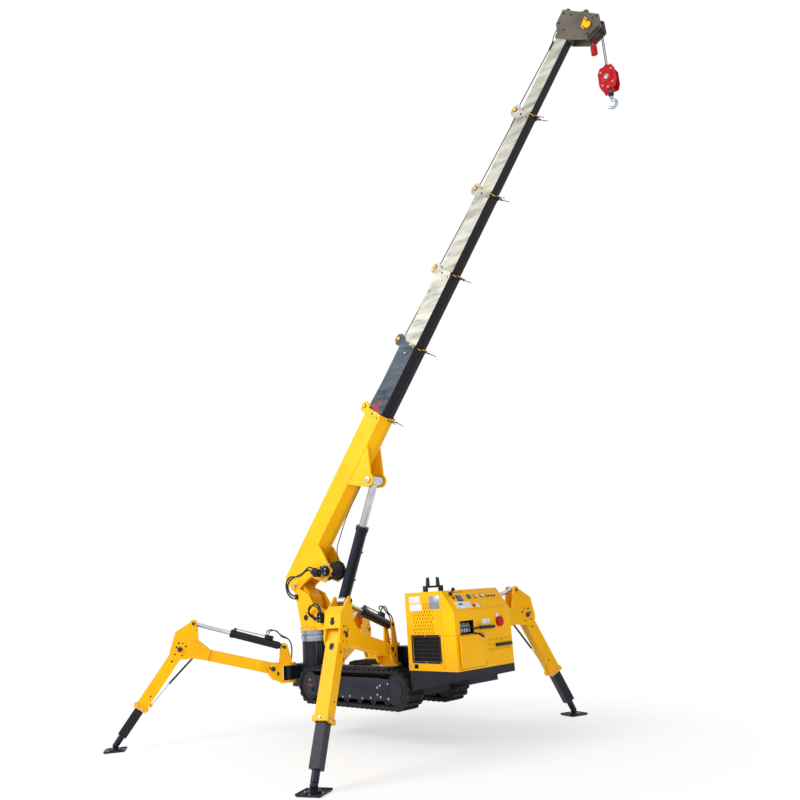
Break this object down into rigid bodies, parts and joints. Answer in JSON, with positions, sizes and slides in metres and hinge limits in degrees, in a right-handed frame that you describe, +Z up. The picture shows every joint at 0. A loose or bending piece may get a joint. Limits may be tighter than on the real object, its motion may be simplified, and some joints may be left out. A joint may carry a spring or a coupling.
{
  "type": "compact crawler crane with four outriggers",
  "caption": "Compact crawler crane with rubber tracks, four folding outriggers, a slewing turret, a telescopic boom and a hook block.",
  "frame": {"origin": "on the ground under the middle of the machine's overall box, as it stands on its outriggers", "axes": "+X forward over the turret end, +Y to the machine's left, +Z up"},
  "size_m": [5.6463, 4.1787, 7.4853],
  "materials": {
    "yellow_paint": "semi-gloss golden yellow paint",
    "navy_paint": "satin dark navy paint",
    "rod_chrome": "hard chromed piston rod",
    "track_rubber": "black track rubber",
    "grey_paint": "galvanised grey, smeared with grease",
    "blue_grey_paint": "blue-grey paint, scuffed",
    "red_paint": "gloss red paint",
    "head_paint": "dark brown-grey paint",
    "engine_iron": "cast iron",
    "bare_steel": "bare machined steel",
    "panel_sheet": "painted instrument panel",
    "rope_steel": "greased steel wire rope",
    "black_paint": "satin black paint"
  },
  "bodies": {
    "undercarriage": {"chassis": "navy_paint", "pedestal": "navy_paint", "cover_floor": "navy_paint", "outrigger_posts": "navy_paint", "slew_ring": "bare_steel", "track_left": "track_rubber", "track_right": "track_rubber", "track_frames": "navy_paint", "engine_cover": "yellow_paint", "radiator_grille": "black_paint", "control_panel": "panel_sheet", "boom_rest": "black_paint", "engine_block": "engine_iron"},
    "turret_body": {"turret": "yellow_paint", "slew_motor": "black_paint"},
    "boom_base_body": {"boom_base": "yellow_paint", "winch_drum": "black_paint", "winch_motor": "black_paint"},
    "luff_barrel_body": {"luff_barrel": "navy_paint"},
    "luff_rod_body": {"luff_rod": "rod_chrome"},
    "boom_2_body": {"boom_2": "blue_grey_paint"},
    "boom_3_body": {"boom_3": "grey_paint"},
    "boom_4_body": {"boom_4": "grey_paint"},
    "boom_5_body": {"boom_5": "grey_paint"},
    "boom_6_body": {"boom_6": "grey_paint", "boom_head": "head_paint", "head_sheaves": "head_paint"},
    "hook_body": {"rope_falls": "rope_steel", "limit_weight": "red_paint", "hook_block": "red_paint", "hook": "bare_steel"},
    "knuckle_fl_body": {"knuckle_fl": "yellow_paint"},
    "arm_fl_body": {"arm_fl": "yellow_paint"},
    "lift_barrel_fl_body": {"lift_barrel_fl": "navy_paint"},
    "lift_rod_fl_body": {"lift_rod_fl": "rod_chrome"},
    "outer_leg_fl_body": {"outer_leg_fl": "yellow_paint"},
    "inner_leg_fl_body": {"inner_leg_fl": "navy_paint", "foot_fl": "navy_paint"},
    "knuckle_rl_body": {"knuckle_rl": "yellow_paint"},
    "arm_rl_body": {"arm_rl": "yellow_paint"},
    "lift_barrel_rl_body": {"lift_barrel_rl": "navy_paint"},
    "lift_rod_rl_body": {"lift_rod_rl": "rod_chrome"},
    "outer_leg_rl_body": {"outer_leg_rl": "yellow_paint"},
    "inner_leg_rl_body": {"inner_leg_rl": "navy_paint", "foot_rl": "navy_paint"},
    "knuckle_rr_body": {"knuckle_rr": "yellow_paint"},
    "arm_rr_body": {"arm_rr": "yellow_paint"},
    "lift_barrel_rr_body": {"lift_barrel_rr": "navy_paint"},
    "lift_rod_rr_body": {"lift_rod_rr": "rod_chrome"},
    "outer_leg_rr_body": {"outer_leg_rr": "yellow_paint"},
    "inner_leg_rr_body": {"inner_leg_rr": "navy_paint", "foot_rr": "navy_paint"},
    "knuckle_fr_body": {"knuckle_fr": "yellow_paint"},
    "arm_fr_body": {"arm_fr": "yellow_paint"},
    "lift_barrel_fr_body": {"lift_barrel_fr": "navy_paint"},
    "lift_rod_fr_body": {"lift_rod_fr": "rod_chrome"},
    "outer_leg_fr_body": {"outer_leg_fr": "yellow_paint"},
    "inner_leg_fr_body": {"inner_leg_fr": "navy_paint", "foot_fr": "navy_paint"}
  },
  "joints": [
    {"name": "slew", "type": "hinge", "parent": "undercarriage", "child": "turret_body", "pos_m": [1.55, 0, 1.11], "axis": [0, 0, -1], "continuous": true},
    {"name": "luff", "type": "hinge", "parent": "turret_body", "child": "boom_base_body", "pos_m": [1.76686, 0.03668, 1.61975], "axis": [0.1668, -0.986, 0], "range_deg": [-22.7, 38.3]},
    {"name": "luff_barrel_tilt", "type": "hinge", "parent": "turret_body", "child": "luff_barrel_body", "pos_m": [1.2049, -0.05837, 1.22], "axis": [0.1668, -0.986, 0], "range_deg": [-24, 40]},
    {"name": "luff_rod_slide", "type": "slide", "parent": "luff_barrel_body", "child": "luff_rod_body", "axis": [-0.3875, -0.0655, 0.9195], "range_m": [-0.5, 0.3]},
    {"name": "tele_2", "type": "slide", "parent": "boom_base_body", "child": "boom_2_body", "axis": [0.603, 0.102, -0.7912], "range_m": [0, 0.7]},
    {"name": "tele_3", "type": "slide", "parent": "boom_2_body", "child": "boom_3_body", "axis": [0.603, 0.102, -0.7912], "range_m": [0, 0.7]},
    {"name": "tele_4", "type": "slide", "parent": "boom_3_body", "child": "boom_4_body", "axis": [0.603, 0.102, -0.7912], "range_m": [0, 0.7]},
    {"name": "tele_5", "type": "slide", "parent": "boom_4_body", "child": "boom_5_body", "axis": [0.603, 0.102, -0.7912], "range_m": [0, 0.7]},
    {"name": "tele_6", "type": "slide", "parent": "boom_5_body", "child": "boom_6_body", "axis": [0.603, 0.102, -0.7912], "range_m": [0, 0.7]},
    {"name": "hook_swing", "type": "hinge", "parent": "boom_6_body", "child": "hook_body", "pos_m": [-2.65598, -0.71139, 7.09974], "axis": [0.1668, -0.986, 0], "range_deg": [-38.5, 23]},
    {"name": "swivel_fl", "type": "hinge", "parent": "undercarriage", "child": "knuckle_fl_body", "pos_m": [1.707, 0.307, 0.706], "axis": [0, 0, -1], "range_deg": [-30, 30]},
    {"name": "lift_fl", "type": "hinge", "parent": "knuckle_fl_body", "child": "arm_fl_body", "pos_m": [1.79922, 0.46738, 0.706], "axis": [-0.8669, 0.4985, 0], "range_deg": [-60, 6]},
    {"name": "lift_barrel_tilt_fl", "type": "hinge", "parent": "knuckle_fl_body", "child": "lift_barrel_fl_body", "pos_m": [1.73192, 0.35035, 0.933], "axis": [-0.8669, 0.4985, 0], "range_deg": [-66, 8]},
    {"name": "lift_rod_slide_fl", "type": "slide", "parent": "lift_barrel_fl_body", "child": "lift_rod_fl_body", "axis": [0.4739, 0.8241, 0.3102], "range_m": [-0.3, 0.05]},
    {"name": "knee_fl", "type": "hinge", "parent": "arm_fl_body", "child": "outer_leg_fl_body", "pos_m": [2.3122, 1.35947, 0.99914], "axis": [0.8669, -0.4985, 0], "range_deg": [-30, 45]},
    {"name": "leg_slide_fl", "type": "slide", "parent": "outer_leg_fl_body", "child": "inner_leg_fl_body", "axis": [0.2863, 0.4979, -0.8186], "range_m": [-0.2, 0.15]},
    {"name": "swivel_rl", "type": "hinge", "parent": "undercarriage", "child": "knuckle_rl_body", "pos_m": [-0.036, 0.26, 0.922], "axis": [0, 0, 1], "range_deg": [-30, 20]},
    {"name": "lift_rl", "type": "hinge", "parent": "knuckle_rl_body", "child": "arm_rl_body", "pos_m": [-0.11506, 0.42725, 0.922], "axis": [-0.9041, -0.4274, 0], "range_deg": [-60, 6]},
    {"name": "lift_barrel_tilt_rl", "type": "hinge", "parent": "knuckle_rl_body", "child": "lift_barrel_rl_body", "pos_m": [-0.05737, 0.3052, 1.149], "axis": [-0.9041, -0.4274, 0], "range_deg": [-66, 8]},
    {"name": "lift_rod_slide_rl", "type": "slide", "parent": "lift_barrel_rl_body", "child": "lift_rod_rl_body", "axis": [-0.4146, 0.8771, 0.2426], "range_m": [-0.3, 0.05]},
    {"name": "knee_rl", "type": "hinge", "parent": "arm_rl_body", "child": "outer_leg_rl_body", "pos_m": [-0.56299, 1.37487, 1.13715], "axis": [0.9041, 0.4274, 0], "range_deg": [-30, 45]},
    {"name": "leg_slide_rl", "type": "slide", "parent": "outer_leg_rl_body", "child": "inner_leg_rl_body", "axis": [-0.1811, 0.3831, -0.9058], "range_m": [-0.2, 0.15]},
    {"name": "swivel_rr", "type": "hinge", "parent": "undercarriage", "child": "knuckle_rr_body", "pos_m": [-0.036, -0.26, 0.922], "axis": [0, 0, -1], "range_deg": [-30, 20]},
    {"name": "lift_rr", "type": "hinge", "parent": "knuckle_rr_body", "child": "arm_rr_body", "pos_m": [-0.09194, -0.43634, 0.922], "axis": [0.9532, -0.3024, 0], "range_deg": [-60, 6]},
    {"name": "lift_barrel_tilt_rr", "type": "hinge", "parent": "knuckle_rr_body", "child": "lift_barrel_rr_body", "pos_m": [-0.05112, -0.30766, 1.149], "axis": [0.9532, -0.3024, 0], "range_deg": [-66, 8]},
    {"name": "lift_rod_slide_rr", "type": "slide", "parent": "lift_barrel_rr_body", "child": "lift_rod_rr_body", "axis": [-0.2938, -0.9262, 0.2363], "range_m": [-0.3, 0.05]},
    {"name": "knee_rr", "type": "hinge", "parent": "arm_rr_body", "child": "outer_leg_rr_body", "pos_m": [-0.40931, -1.43683, 1.12983], "axis": [-0.9532, 0.3024, 0], "range_deg": [-30, 45]},
    {"name": "leg_slide_rr", "type": "slide", "parent": "outer_leg_rr_body", "child": "inner_leg_rr_body", "axis": [-0.1383, -0.4361, -0.8892], "range_m": [-0.2, 0.15]},
    {"name": "swivel_fr", "type": "hinge", "parent": "undercarriage", "child": "knuckle_fr_body", "pos_m": [1.707, -0.307, 0.706], "axis": [0, 0, 1], "range_deg": [-30, 30]},
    {"name": "lift_fr", "type": "hinge", "parent": "knuckle_fr_body", "child": "arm_fr_body", "pos_m": [1.79922, -0.46738, 0.706], "axis": [0.8669, 0.4985, 0], "range_deg": [-60, 6]},
    {"name": "lift_barrel_tilt_fr", "type": "hinge", "parent": "knuckle_fr_body", "child": "lift_barrel_fr_body", "pos_m": [1.73192, -0.35035, 0.933], "axis": [0.8669, 0.4985, 0], "range_deg": [-66, 8]},
    {"name": "lift_rod_slide_fr", "type": "slide", "parent": "lift_barrel_fr_body", "child": "lift_rod_fr_body", "axis": [0.4739, -0.8241, 0.3102], "range_m": [-0.3, 0.05]},
    {"name": "knee_fr", "type": "hinge", "parent": "arm_fr_body", "child": "outer_leg_fr_body", "pos_m": [2.3122, -1.35947, 0.99914], "axis": [-0.8669, -0.4985, 0], "range_deg": [-30, 45]},
    {"name": "leg_slide_fr", "type": "slide", "parent": "outer_leg_fr_body", "child": "inner_leg_fr_body", "axis": [0.2863, -0.4979, -0.8186], "range_m": [-0.2, 0.15]}
  ],
  "couplings": [
    {"joint": "luff_barrel_tilt", "follows": "luff", "ratio": 0.992},
    {"joint": "luff_rod_slide", "follows": "luff", "m_per_rad": -0.6636},
    {"joint": "tele_3", "follows": "tele_2", "ratio": 1},
    {"joint": "tele_4", "follows": "tele_2", "ratio": 1},
    {"joint": "tele_5", "follows": "tele_2", "ratio": 1},
    {"joint": "tele_6", "follows": "tele_2", "ratio": 1},
    {"joint": "hook_swing", "follows": "luff", "ratio": -1},
    {"joint": "lift_barrel_tilt_fl", "follows": "lift_fl", "ratio": 1.077},
    {"joint": "lift_rod_slide_fl", "follows": "lift_fl", "m_per_rad": 0.2387},
    {"joint": "lift_barrel_tilt_rl", "follows": "lift_rl", "ratio": 1.056},
    {"joint": "lift_rod_slide_rl", "follows": "lift_rl", "m_per_rad": 0.2438},
    {"joint": "lift_barrel_tilt_rr", "follows": "lift_rr", "ratio": 1.054},
    {"joint": "lift_rod_slide_rr", "follows": "lift_rr", "m_per_rad": 0.2442},
    {"joint": "lift_barrel_tilt_fr", "follows": "lift_fr", "ratio": 1.077},
    {"joint": "lift_rod_slide_fr", "follows": "lift_fr", "m_per_rad": 0.2387}
  ]
}
